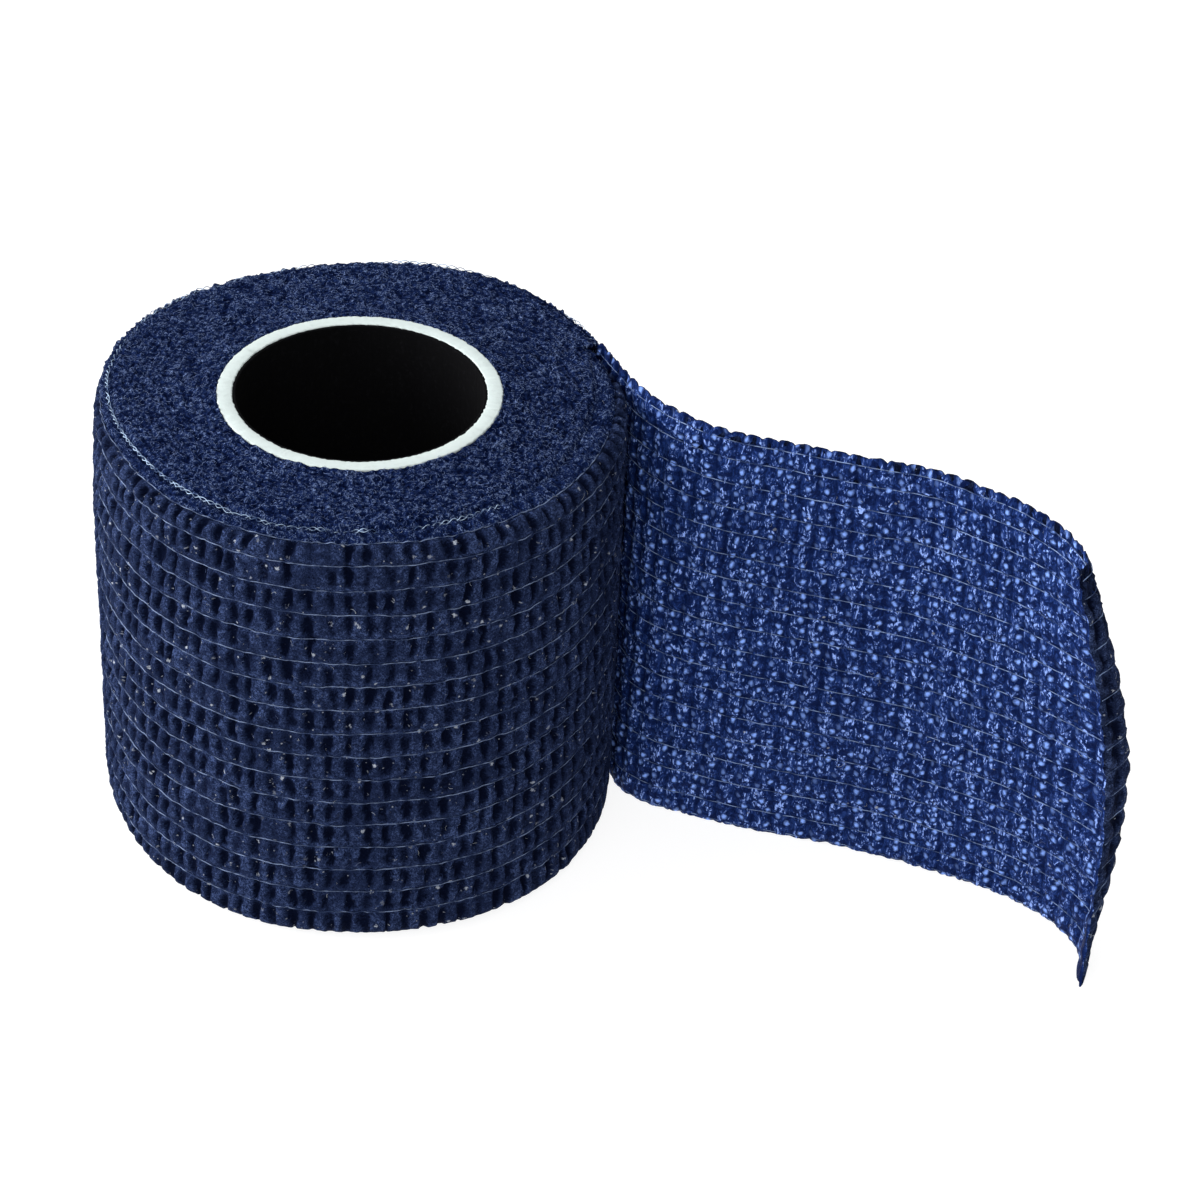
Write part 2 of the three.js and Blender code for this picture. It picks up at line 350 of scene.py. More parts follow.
class Crinkle:
    """Relief of the cloth in its own plane, in millimetres. Along runs from the leaving line towards
    the cut, and is negative on the roll. Up runs from the lower edge. Each row between two elastic
    threads has its own pits, and the lines of pits sway a little from row to row."""

    REACH = (-190, 84)
    SWAY = 0.16
    COHERENCE = 2.2
    STRAY = 0.16

    def __init__(self, cloth):
        self.pitch = cloth.pit_pitch / MM
        self.depth = cloth.pit_depth / MM
        self.swell = cloth.swell / MM
        self.first = math.floor(self.REACH[0] / self.pitch)
        self.count = math.ceil(self.REACH[1] / self.pitch) - self.first
        random = np.random.default_rng(cloth.seed)
        shape = (ROWS + 1, self.count)
        sway = np.cumsum(random.normal(0, self.SWAY, shape), axis=0)
        for _ in range(8):
            sway = (np.roll(sway, 1, 1) + sway + np.roll(sway, -1, 1)) / 3
        self.rib = self.pitch * (self.first + np.arange(self.count)) + self.COHERENCE * sway
        self.stray = random.normal(0, self.STRAY, shape)
        self.half = cloth.pit_width / MM / 2 * np.clip(random.normal(1, 0.15, shape), 0.65, 1.35)
        self.deep = np.clip(random.normal(0.88, 0.28, shape), 0.25, 1.2)
        self.lift = random.normal(0, 0.04, shape)

    def rows(self, up):
        """Row of each height, and the part of the row that lies below it. Heights from -1 to 0 lie
        in the last row, which shows below the cloth."""
        row = np.clip(np.searchsorted(THREAD_UP, up, side="right") - 1, -1, ROWS - 1)
        low = np.where(row < 0, -1, THREAD_UP[row])
        high = np.where(row < 0, 0, THREAD_UP[row + 1])
        return row, np.clip((up - low) / (high - low), 0, 1)

    def ribs(self, along, up):
        """Place across the ribs, a whole number on each line of pits, at every one of the places
        along the cloth and every one of the heights."""
        place = np.clip(np.ravel(up) / THREAD_PITCH - 0.5, 0, ROWS - 1.001)
        numbers = self.first + np.arange(self.count)
        lines = []
        for row, part in zip(np.floor(place).astype(int), place % 1):
            line = (1 - part) * self.rib[row] + part * self.rib[row + 1]
            lines.append(np.interp(np.ravel(along), line, numbers))
        return np.stack(lines, 1)

    def pits(self, along, up):
        """How deep in a pit each place lies, from 0 to about 1: narrow low in the row, wide high."""
        across = self.ribs(along, up) * self.pitch + grains(along, up, PIT_STRAY)
        row, part = self.rows(up + np.where(up < 0, 0, grains(along, up, ROW_STRAY)))
        nearest = np.rint(across / self.pitch).astype(int) - self.first
        deepest = 0
        for step in (-1, 0, 1):
            k = np.clip(nearest + step, 0, self.count - 1)
            centre = (self.first + k) * self.pitch + self.stray[row, k]
            wide = np.abs(across - centre) / (self.half[row, k] * (0.66 + 0.56 * part))
            tall = np.abs(part - 0.54 - self.lift[row, k]) / 0.44
            pit = np.clip(1 - wide ** 2, 0, 1) ** 0.8 * np.clip(1 - tall ** 3.5, 0, 1)
            deepest = np.maximum(deepest, self.deep[row, k] * pit)
        return deepest

    def bulge(self, part):
        """How far the cloth swells at this part of the way from one thread to the next."""
        return self.swell * (np.sin(math.pi * part) ** 0.7 - 0.5)

    def outer(self, along, up):
        """Relief of the outer face, and how deep in a pit it lies. The highest row is crumpled
        instead, and flatter."""
        row, part = self.rows(up)
        crumpled = row == ROWS - 1
        crumple = np.clip(0.5 + grains(along, up, CRUMPLE), 0, 1)
        pit = np.where(crumpled, crumple, self.pits(along, up))
        relief = self.bulge(part) + grains(along, up, OUTER_LUMPS) - self.depth * pit
        return np.where(crumpled, 0.8, 1) * relief, np.where(crumpled, 0.75, 1) * pit

    def inner(self, along, up):
        """Relief of the inner face, how deep in a furrow it lies, and its place across the ribs."""
        part = self.rows(up)[1]
        ribs = self.ribs(along, up)
        swayed = ribs + grains(along, up, FURROW_STRAY)
        away = 2 * np.abs(swayed - np.rint(swayed))
        furrow = np.clip(0.8 + grains(along, up, FURROW_WEAR), 0.3, 1) * away ** 2
        relief = 0.7 * self.bulge(part) + grains(along, up, INNER_LUMPS) - 0.45 * furrow
        return relief, furrow, ribs


def row_heights():
    """Heights from the lower to the upper edge, closer together at the threads."""
    rows = THREAD_UP[:-1, None] + np.diff(THREAD_UP)[:, None] * ROW_STEPS
    return np.concatenate([rows.ravel(), [THREAD_UP[-1], TAPE_WIDTH - 0.45, TAPE_WIDTH]])


# The roll's outer form

def crest_radius(back):
    return read_smoothly(OUTLINE, np.degrees(back))


def rim_inset(rounding, distance):
    """How far a rounded rim draws in at a distance from the edge."""
    up = np.clip(rounding - distance, 0, rounding)
    return rounding - np.sqrt(rounding ** 2 - up ** 2)


def on_circle(radius, back, height):
    """Points at a radius and a height, by the angle back from the leaving line."""
    angle = math.radians(LEAVING_ANGLE) + back
    radius, angle, height = np.broadcast_arrays(radius, angle, height)
    return np.stack([radius * np.cos(angle), radius * np.sin(angle), height], -1)


def on_roll(back, up, out):
    """Points this far out from the crest of the outermost turn. Up runs along the cloth, from its
    lower edge up the side and over the rounded rim, and from -1 to 0 below the cloth to the foot."""
    tables = TOP_RIM, RIM_TOP, LOW_CLIMB, TOP_CLIMB, FOOT_RIM, TOP_LEAN
    rim, top_height, low, top, foot_rim, top_lean = [
        read_smoothly(table, np.degrees(back)) for table in tables]
    high = np.clip((up - CLIMB_START) / (THREAD_UP[-1] - CLIMB_START), 0, 1) ** 2
    climb = np.where(up < 0, low * (1 + up), up + low + high * (top - low))
    start = top_height - rim
    turn = np.clip((climb - start) / rim, 0, math.pi / 2)
    over = np.clip(climb - start - rim * math.pi / 2, 0, None)
    height = np.minimum(climb, start) + rim * np.sin(turn)
    foot = np.minimum(rim_inset(foot_rim, height), FOOT_INSET)
    lean = np.clip((height - LEAN_START) / (top_height - LEAN_START), 0, 1) ** 2
    inset = rim * (1 - np.cos(turn)) + over + foot + lean * top_lean + np.where(up < 0, BELOW_DEPTH, 0)
    radius = crest_radius(back) - inset + out * np.cos(turn)
    return on_circle(radius, back, np.maximum(height + out * np.sin(turn), 0.02))


# Meshes

def skin(name, sections, ring, marks, tape):
    """A closed skin through like sections: an array of columns, points and x, y, z in millimetres.
    A ring of sections closes on itself, and otherwise both ends are capped. Marks are named values
    of the points, and tape is their place in the cloth's own plane."""
    columns, count = sections.shape[:2]
    spans = columns if ring else columns - 1
    here = (np.arange(spans) * count)[:, None]
    there = ((np.arange(spans) + 1) % columns * count)[:, None]
    k, after = np.arange(count), (np.arange(count) + 1) % count
    faces = np.stack([here + k, there + k, there + after, here + after], -1).reshape(-1, 4)
    if not ring:
        k, last = np.arange(count // 2 - 1), (columns - 1) * count
        near = np.stack([k, k + 1, count - 2 - k, count - 1 - k], -1)
        far = last + near[:, ::-1]
        faces = np.vstack([faces, near, far])
    mesh = bpy.data.meshes.new(name)
    mesh.from_pydata((sections.reshape(-1, 3) + (AXIS.x, AXIS.y, 0)) * MM, [], faces)
    for mark, values in marks.items():
        layer = mesh.attributes.new(mark, "FLOAT", "POINT")
        layer.data.foreach_set("value", np.ascontiguousarray(values, np.float32).ravel())
    place = np.ascontiguousarray(tape.reshape(-1, 2)[faces.ravel()], np.float32)
    mesh.uv_layers.new(name="tape").uv.foreach_set("vector", place.ravel())
    mesh.shade_smooth()
    return mesh


def add_piece(name, mesh, slot, *materials):
    """A finished piece: it rides on the body and takes the given materials. The slot is not used."""
    for material in materials:
        mesh.materials.append(material)
    piece = bpy.data.objects.new(name, mesh)
    bpy.context.scene.collection.objects.link(piece)
    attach(piece, BODY)
    return piece


# Node trees

class Graph:
    """Adds nodes to a tree. An input that is a socket is linked, and any other value is set."""

    def __init__(self, tree):
        self.tree = tree

    def give(self, socket, value):
        if isinstance(value, bpy.types.NodeSocket):
            self.tree.links.new(value, socket)
        else:
            socket.default_value = value

    def add(self, kind, inputs=None, **settings):
        node = self.tree.nodes.new(kind)
        for name, value in settings.items():
            setattr(node, name, value)
        for key, value in (inputs or {}).items():
            self.give(node.inputs[key], value)
        return node

    def out(self, kind, inputs=None, **settings):
        """The first output of a new node."""
        return self.add(kind, inputs, **settings).outputs[0]

    def math(self, operation, *values):
        return self.out("ShaderNodeMath", dict(enumerate(values)), operation=operation)

    def times(self, first, second):
        return self.math("MULTIPLY", first, second)

    def layers(self, start, *layers):
        """Adds layers to a start, each a value and its share."""
        for value, share in layers:
            start = self.math("MULTIPLY_ADD", value, share, start)
        return start

    def vector(self, operation, *values):
        return self.out("ShaderNodeVectorMath", dict(enumerate(values)), operation=operation)

    def scaled(self, vector, scale):
        return self.out("ShaderNodeVectorMath", {0: vector, "Scale": scale}, operation="SCALE")

    def mix(self, factor, first, second):
        node = self.add("ShaderNodeMix", {"Factor": factor}, data_type="RGBA")
        sockets = [socket for socket in node.inputs if socket.type == "RGBA"]
        for socket, value in zip(sockets, (first, second)):
            self.give(socket, value if isinstance(value, bpy.types.NodeSocket) else (*value, 1))
        return next(socket for socket in node.outputs if socket.type == "RGBA")

    def spread(self, value, low, high, to_low=0.0, to_high=1.0):
        """The value's range from low to high, stretched to another range and held there."""
        inputs = {"Value": value, "From Min": low, "From Max": high, "To Min": to_low, "To Max": to_high}
        return self.out("ShaderNodeMapRange", inputs, interpolation_type="SMOOTHSTEP")

    def ramp(self, value, place, low, middle, high):
        """Colour by a value: low at 0, middle at a place between, and high at 1."""
        node = self.add("ShaderNodeValToRGB", {"Fac": value})
        elements = node.color_ramp.elements
        elements.new(place)
        for element, tint in zip(elements, (low, middle, high)):
            element.color = (*tint, 1)
        return node.outputs["Color"]

    def noise(self, vector, scale, detail=2.0, roughness=0.5, distortion=0.0):
        inputs = {"Vector": vector, "Scale": scale, "Detail": detail, "Roughness": roughness}
        return self.out("ShaderNodeTexNoise", {**inputs, "Distortion": distortion})

    def object_place(self):
        return self.add("ShaderNodeTexCoord").outputs["Object"]

    def tape_place(self, scale=(1, 1, 1), turn=0.0):
        """The place in the cloth's own plane, in millimetres."""
        inputs = {"Vector": self.out("ShaderNodeUVMap", uv_map="tape"), "Scale": scale}
        return self.out("ShaderNodeMapping", {**inputs, "Rotation": (0, 0, turn)})


def new_material(name, roughness, specular=0.5, tint=(1, 1, 1)):
    """A material with one Principled shader, its graph, and the shader."""
    material = bpy.data.materials.new(name)
    material.use_nodes = True
    graph = Graph(material.node_tree)
    shader = material.node_tree.nodes["Principled BSDF"]
    shader.inputs["Roughness"].default_value = roughness
    shader.inputs["Specular IOR Level"].default_value = specular
    shader.inputs["Specular Tint"].default_value = (*tint, 1)
    return material, graph, shader


def finish_shader(graph, shader, colour, height, distance):
    """Links a colour and a bump of this height in metres to the shader."""
    bump = graph.out("ShaderNodeBump", {"Height": height, "Distance": distance, "Strength": 1.0})
    graph.give(shader.inputs["Base Color"], colour)
    graph.give(shader.inputs["Normal"], bump)


def fibre_lines(graph, place, scale, thick=0.045):
    """Thin curling lines, as of single fibres, from 0 to 1."""
    wander = graph.noise(place, scale, 2, 0.6, 0.4)
    from_line = graph.math("ABSOLUTE", graph.math("SUBTRACT", wander, 0.5))
    return graph.spread(from_line, 0.0, thick, 1.0, 0.0)


def painted_shade_mark(graph, ragged, amount):
    """How deep each place lies, painted as shade, with its edge made ragged by a noise."""
    painted_shade = graph.add("ShaderNodeAttribute", attribute_name="painted_shade").outputs["Fac"]
    return graph.layers(painted_shade, (graph.math("SUBTRACT", ragged, 0.5), amount))


def flecks(graph, place, ragged, scale, size):
    """Small ragged spots, each of its own brightness, from 0 to 1."""
    cells = graph.add("ShaderNodeTexVoronoi", {"Vector": place, "Scale": scale, "Randomness": 1.0})
    edge = size * scale
    away = graph.layers(cells.outputs["Distance"], (ragged, 3 * edge))
    chance = graph.out("ShaderNodeSeparateColor", {"Color": cells.outputs["Color"]})
    spot = graph.spread(away, 1.9 * edge, 2.4 * edge, 1, 0)
    return graph.times(spot, graph.spread(chance, 0.1, 0.75))


def outer_cloth(cloth):
    """Matted navy fibres: darkened with painted shade in the pits, mottled on the ridges, with pale
    flecks.
    """
    material, graph, shader = new_material("crinkled cloth, outer face", 0.8, 0.02, (0.5, 0.65, 1))
    place = graph.tape_place()
    tufts = graph.noise(place, 1.2, 3, 0.6, 0.5)
    clumps = graph.noise(place, 3.2, 3, 0.65, 0.8)
    specks = graph.noise(place, 4.4, 1, 0.6, 0.6)
    ragged = graph.layers(0.0, (clumps, 0.55), (specks, 0.45))
    # Lit falls to 0 where painted shade lies in the pits
    lit = graph.spread(painted_shade_mark(graph, ragged, 3.6), 0.1, 0.66, 1, 0)
    mottle = graph.layers(
        0.12, (graph.spread(clumps, 0.4, 0.6), 0.28), (graph.spread(tufts, 0.4, 0.6), 0.24),
        (graph.spread(specks, 0.45, 0.59), 0.34), (fibre_lines(graph, place, 2.4), 0.16))
    patches = graph.spread(graph.noise(place, 0.16), 0.3, 0.7, 0.85, 1.15)
    tone = graph.times(lit, graph.times(mottle, patches))
    tone = graph.ramp(tone, 0.55, cloth.pit_shade_colour, cloth.base_colour, cloth.fibre_colour)
    small = graph.times(flecks(graph, place, specks, 1.15, 0.11), 0.5)
    tone = graph.mix(small, tone, cloth.fleck_colour)
    large = flecks(graph, place, clumps, 0.62, 0.27)
    large = graph.times(large, graph.spread(lit, 0.1, 0.6, 0, 0.75))
    colour = graph.mix(large, tone, cloth.fleck_colour)
    finish_shader(graph, shader, colour, graph.layers(clumps, (tufts, 0.8)), 0.3 * MM)
    return material


def bond_points(graph, place, pitch, ragged):
    """Pressed dots on the ribs, staggered from rib to rib, whose colour is partly painted highlight, and
    the painted shade round them, from 0 to 1.
    """
    apart, stray, size, rough = 1.7, 0.78, 0.27, 0.42
    parts = graph.add("ShaderNodeSeparateXYZ", {"Vector": place}).outputs
    rib = graph.math("DIVIDE", parts["X"], pitch)
    odd = graph.math("PINGPONG", graph.math("ROUND", rib), 1.0)
    level = graph.layers(graph.math("DIVIDE", parts["Y"], apart), (odd, 0.5))
    middle = {"X": graph.math("ADD", rib, stray / 2), "Y": graph.math("ADD", level, stray / 2)}
    cell = graph.out("ShaderNodeCombineXYZ", middle)
    inputs = {"Vector": cell, "Scale": 1.0, "Randomness": stray}
    dots = graph.add("ShaderNodeTexVoronoi", inputs, voronoi_dimensions="2D").outputs
    gap = graph.vector("SUBTRACT", cell, dots["Position"])
    gap = graph.vector("MULTIPLY", gap, (pitch, 0.86 * apart, 0))
    distance = graph.add("ShaderNodeVectorMath", {0: gap}, operation="LENGTH").outputs["Value"]
    away = graph.layers(distance, (ragged, rough))
    # The halo is painted shade round each pressed dot
    dot, halo_shade = [graph.spread(away, rough / 2 + near * size, rough / 2 + far * size, 1, 0)
                 for near, far in ((0.3, 1.45), (1.2, 2.2))]
    kind = graph.out("ShaderNodeSeparateColor", {"Color": dots["Color"]})
    return graph.times(dot, graph.spread(kind, 0.0, 0.7, 0.25, 1)), halo_shade


def inner_cloth(cloth):
    """The brighter inner face: upright glossy fibres, pressed bond points painted partly as highlights
    with painted shade round them, painted shade in its furrows and near its edges, and pale patches.
    """
    material, graph, shader = new_material("crinkled cloth, inner face", 0.5, 0.04, (0.6, 0.75, 1))
    place, upright = graph.tape_place(), graph.tape_place((2.1, 0.72, 1))
    tilted = graph.tape_place((2.2, 0.8, 1), 0.25)
    tufts = graph.noise(place, 1.0, 3, 0.6, 0.8)
    strands = graph.noise(upright, 1.5, 3, 0.7, 0.8)
    strokes = graph.spread(graph.noise(upright, 1.75, 1, 0.55, 0.6), 0.55, 0.66)
    crossing = graph.spread(graph.noise(tilted, 1.6, 1, 0.55, 0.6), 0.57, 0.68)
    strokes = graph.math("MAXIMUM", strokes, crossing)
    # Dark spots of painted shade in small gaps between the fibres
    gaps = graph.spread(graph.noise(place, 1.5, 2, 0.6, 0.8), 0.42, 0.52, 0.15, 1)
    painted_shade = painted_shade_mark(graph, strands, 1.1)
    dot, halo_shade = bond_points(graph, place, cloth.pit_pitch / MM, graph.noise(place, 2.4, 1))
    # Painted shade darkens the furrows, the edges and the part beside the roll
    lit = graph.times(graph.spread(painted_shade, 0.18, 1.05, 1, 0.03), gaps)
    lit = graph.times(lit, graph.layers(1.0, (halo_shade, -0.6)))
    islands = graph.spread(graph.noise(place, 0.3), 0.35, 0.65)
    islands = graph.times(islands, graph.spread(tufts, 0.4, 0.62))
    mottle = graph.layers(
        0.12, (graph.spread(strands, 0.4, 0.62), 0.48),
        (strokes, graph.layers(0.36, (islands, 0.55))), (islands, 0.18))
    tints = cloth.inner_furrow_shade_colour, cloth.inner_colour, cloth.inner_fibre_colour
    tone = graph.ramp(graph.times(lit, mottle), 0.5, *tints)
    spot = graph.times(flecks(graph, place, tufts, 0.4, 0.2), 0.6)
    tone = graph.mix(spot, tone, cloth.fleck_colour)
    # Bond points are dimmed where painted shade lies
    dot_dimmed_in_shade = graph.times(dot, graph.spread(painted_shade, 0.3, 1.2, 1, 0.3))
    colour = graph.mix(dot_dimmed_in_shade, tone, cloth.bond_and_highlight_colour)
    height = graph.layers(strands, (tufts, 0.8))
    height = graph.times(height, graph.math("SUBTRACT", 1.0, dot))
    finish_shader(graph, shader, colour, height, 0.25 * MM)
    return material


def end_cloth(cloth):
    """The crumpled edges of the turns: fine curled fibres over dark gaps of painted shade."""
    material, graph, shader = new_material("crinkled cloth, end faces", 0.75, 0.02, (0.5, 0.65, 1))
    place = graph.tape_place()
    lumps = graph.noise(place, 1.3, 3, 0.6, 0.5)
    clumps = graph.noise(place, 3.4, 1, 0.6, 0.6)
    # Dark spots of painted shade in small holes
    hole_shade = graph.spread(graph.noise(place, 2.4, 1, 0.5, 0.8), 0.38, 0.5, 0.3, 1)
    crossed = fibre_lines(graph, graph.tape_place((-1.3, 1.3, 1)), 2.0, 0.055)
    curls = graph.math("MAXIMUM", fibre_lines(graph, place, 2.2, 0.06), crossed)
    curls = graph.times(curls, graph.spread(clumps, 0.3, 0.6))
    lit = graph.times(graph.spread(painted_shade_mark(graph, clumps, 1.6), 0.36, 0.8, 1, 0.04), hole_shade)
    mottle = graph.layers(
        0.16, (graph.spread(clumps, 0.4, 0.6), 0.24), (graph.spread(lumps, 0.38, 0.62), 0.08),
        (curls, 0.78))
    tints = cloth.end_gap_shade_colour, cloth.end_colour, cloth.end_fibre_colour
    colour = graph.ramp(graph.times(lit, mottle), 0.45, *tints)
    finish_shader(graph, shader, colour, graph.math("ADD", clumps, curls), 0.22 * MM)
    return material


def thread_material(name, colour):
    """Elastic thread, bright and dull in dashes."""
    material, graph, shader = new_material(name, 0.6, 0.1)
    place = graph.object_place()
    dull = [share * value for share, value in zip((0.16, 0.22, 0.36), colour)]
    bright = [1.6 * value for value in colour]
    wear = graph.spread(graph.noise(place, 0.8 / MM), 0.35, 0.65)
    tone = graph.ramp(wear, 0.62, dull, colour, bright)
    finish_shader(graph, shader, tone, graph.noise(place, 6 / MM), 0.02 * MM)
    return material


def lint_material(name, pale, blue):
    """Stray fibres, from pale to blue."""
    material, graph, shader = new_material(name, 0.6, 0.3)
    place = graph.object_place()
    kind = graph.spread(graph.noise(place, 0.35 / MM, 1), 0.4, 0.6)
    height = graph.noise(place, 8 / MM, 1)
    finish_shader(graph, shader, graph.mix(kind, pale, blue), height, 0.01 * MM)
    return material


def paper_material(name, tint, roughness, specular, scale, detail, edge, worn, depth):
    """Paper with a faint fibre grain: a tint, and that tint times a number where it is worn."""
    material, graph, shader = new_material(name, roughness, specular)
    fibres = graph.noise(graph.object_place(), scale / MM, detail, 0.6)
    colour = graph.mix(graph.spread(fibres, 0.5, edge), tint, [worn * value for value in tint])
    finish_shader(graph, shader, colour, fibres, depth * MM)
    return material


def new_tree(name, numbers, counts=()):
    """A geometry tree with a geometry input, these named inputs and a material input. Returns its
    graph, the sockets inside by name, and a call that closes the tree and returns it."""
    tree = bpy.data.node_groups.new(name, "GeometryNodeTree")
    kinds = {"Geometry": "Geometry", **dict.fromkeys(numbers, "Float"),
             **dict.fromkeys(counts, "Int"), "Material": "Material"}
    for label, kind in kinds.items():
        tree.interface.new_socket(label, in_out="INPUT", socket_type="NodeSocket" + kind)
    tree.interface.new_socket("Geometry", in_out="OUTPUT", socket_type="NodeSocketGeometry")
    graph = Graph(tree)
    given = {socket.name: socket for socket in graph.add("NodeGroupInput").outputs}

    def close(geometry):
        smooth = graph.out("GeometryNodeSetShadeSmooth", {"Geometry": geometry})
        real = graph.out("GeometryNodeRealizeInstances", {"Geometry": smooth})
        inputs = {"Geometry": real, "Material": given["Material"]}
        graph.add("NodeGroupOutput", {"Geometry": graph.out("GeometryNodeSetMaterial", inputs)})
        return tree

    return graph, given, close


def grown_piece(name, mesh, tree, slot, **values):
    """A plain mesh piece from a geometry tree that runs on a mesh."""
    seedling = bpy.data.objects.new(name + "_source", mesh)
    bpy.context.scene.collection.objects.link(seedling)
    modifier = seedling.modifiers.new("grow", "NODES")
    modifier.node_group = tree
    for item in tree.interface.items_tree:
        key = item.name.lower().replace(" ", "_")
        if item.in_out == "INPUT" and key in values:
            modifier[item.identifier] = values[key]
    result = seedling.evaluated_get(bpy.context.evaluated_depsgraph_get())
    grown = bpy.data.meshes.new_from_object(result)
    seedling.modifiers.remove(modifier)
    bpy.data.objects.remove(seedling)
    grown.name = name
    return add_piece(name, grown, slot)


def random_offset(graph, amount, size, seed):
    """A vector that wanders smoothly with place, up to about this amount."""
    place = graph.out("GeometryNodeInputPosition")
    inputs = {"Vector": place, "Scale": graph.math("DIVIDE", 1.0, size), "W": seed}
    noise = graph.add("ShaderNodeTexNoise", inputs, noise_dimensions="4D").outputs["Color"]
    return graph.scaled(graph.vector("SUBTRACT", noise, (0.5, 0.5, 0.5)), graph.times(amount, 2.0))


def swept(graph, curve, sides, radius):
    """A round strand along a curve."""
    circle = graph.out("GeometryNodeCurvePrimitiveCircle", {"Resolution": sides, "Radius": radius})
    inputs = {"Curve": curve, "Profile Curve": circle, "Fill Caps": True}
    return graph.out("GeometryNodeCurveToMesh", inputs)


def strand_tree():
    """Turns each line of the mesh into a round strand that strays a little."""
    graph, given, close = new_tree(
        "Strands along lines", ("Radius", "Wobble", "Wobble Length", "Seed"), ("Sides",))
    curve = graph.out("GeometryNodeMeshToCurve", {"Mesh": given["Geometry"]})
    offset = random_offset(graph, given["Wobble"], given["Wobble Length"], given["Seed"])
    strayed = graph.out("GeometryNodeSetPosition", {"Geometry": curve, "Offset": offset})
    return close(swept(graph, strayed, given["Sides"], given["Radius"]))


def lint_tree():
    """Scatters short curled fibres over the faces marked as bare."""
    graph, given, close = new_tree("Lint on a face", ("Density", "Curl", "Radius", "Lift"), ("Seed",))
    bare = graph.out("GeometryNodeInputNamedAttribute", {"Name": "bare"}, data_type="FLOAT")
    density = graph.times(bare, given["Density"])
    inputs = {"Mesh": given["Geometry"], "Density": density, "Seed": given["Seed"]}
    points = graph.add("GeometryNodeDistributePointsOnFaces", inputs).outputs
    inputs = {"Resolution": 6, "Radius": given["Curl"], "Sweep Angle": math.radians(150)}
    fibre = swept(graph, graph.out("GeometryNodeCurveArc", inputs), 3, given["Radius"])

    def random(low, high, seed_step):
        seed = graph.math("ADD", given["Seed"], seed_step)
        inputs = {0: low, 1: high, "Seed": seed}
        return graph.out("FunctionNodeRandomValue", inputs, data_type="FLOAT_VECTOR")

    turn = random((-0.5, -0.5, 0), (0.5, 0.5, 2 * math.pi), 1)
    spin = graph.out("FunctionNodeEulerToRotation", {"Euler": turn})
    inputs = {"Rotation": points["Rotation"], "Rotate By": spin}
    turned = graph.out("FunctionNodeRotateRotation", inputs, rotation_space="LOCAL")
    inputs = {"Points": points["Points"], "Instance": fibre, "Rotation": turned}
    inputs["Scale"] = random((0.3, 0.3, 0.3), (1.3, 1.0, 1.0), 2)
    placed = graph.out("GeometryNodeInstanceOnPoints", inputs)
    inputs = {"Instances": placed, "Translation": graph.scaled(points["Normal"], given["Lift"])}
    return close(graph.out("GeometryNodeTranslateInstances", {**inputs, "Local Space": False}))


def tube_tree():
    """Sweeps a rounded wall section round a circle and roughens its cut ends."""
    graph, given, close = new_tree("Cut tube", (
        "Radius", "Wall", "Length", "Floor", "Edge", "Ragged", "Ragged Length", "Seed"))
    middle = graph.layers(given["Radius"], (given["Wall"], -0.5))
    ring = graph.out("GeometryNodeCurvePrimitiveCircle", {"Resolution": 600, "Radius": middle})
    inputs = {"Width": given["Wall"], "Height": given["Length"]}
    section = graph.out("GeometryNodeCurvePrimitiveQuadrilateral", inputs)
    inputs = {"Curve": section, "Radius": given["Edge"], "Limit Radius": True, "Count": 3}
    section = graph.out("GeometryNodeFilletCurve", inputs, mode="POLY")
    tube = graph.out("GeometryNodeCurveToMesh", {"Curve": ring, "Profile Curve": section})
    offset = random_offset(graph, given["Ragged"], given["Ragged Length"], given["Seed"])
    offset = graph.vector("MULTIPLY", offset, (1, 1, 0.05))
    rough = graph.out("GeometryNodeSetPosition", {"Geometry": tube, "Offset": offset})
    half = graph.layers(given["Floor"], (given["Length"], 0.5))
    lift = graph.out("ShaderNodeCombineXYZ", {"X": AXIS.x * MM, "Y": AXIS.y * MM, "Z": half})
    return close(graph.out("GeometryNodeTransform", {"Geometry": rough, "Translation": lift}))


# Pieces

def wound_side(crinkle, step):
    """The outermost turn as a shell: its crinkled outer face over both rims, and a plain inner wall.
    Also which of its faces lie in the crumpled highest row."""
    girth = 2 * math.pi * np.mean([radius for _, radius in OUTLINE])
    back = np.linspace(0, 2 * math.pi, round(girth / step) + 1)[:, None]
    up = np.concatenate([FOOT_STEPS, row_heights()])[None, :]
    crest = crest_radius(back)
    along = -back * crest.mean()
    relief, pit = crinkle.outer(along, up)
    outside = on_roll(back, up, relief - CREST_DEPTH)
    tucked = on_roll(back, TAPE_WIDTH + 0.35, -0.9)
    wall = [(SHELL_WALL, TAPE_WIDTH - 3.5), (SHELL_WALL, 3.2), (FOOT_INSET + 1.1, 0.03)]
    inside = [tucked] + [on_circle(crest - depth, back, z) for depth, z in wall]
    hidden = (0, 0), (0, len(inside))
    tape_up = np.pad(np.where(up < 0, BELOW_HEIGHT * up, up), hidden, mode="edge")
    tape = np.stack(np.broadcast_arrays(along, tape_up), -1)
    # Painted shade in the pits, and over all of the hidden walls
    marks = {"painted_shade": np.pad(pit, hidden, constant_values=1),
             "bare": np.pad((up > LINT_FROM) + 0 * pit, hidden)}
    mesh = skin("wound_cloth_side", np.concatenate([outside] + inside, 1), True, marks, tape)
    crumpled = np.pad(up >= THREAD_UP[-2], hidden)[0]
    return mesh, np.tile(crumpled, len(back)).astype(np.int32)


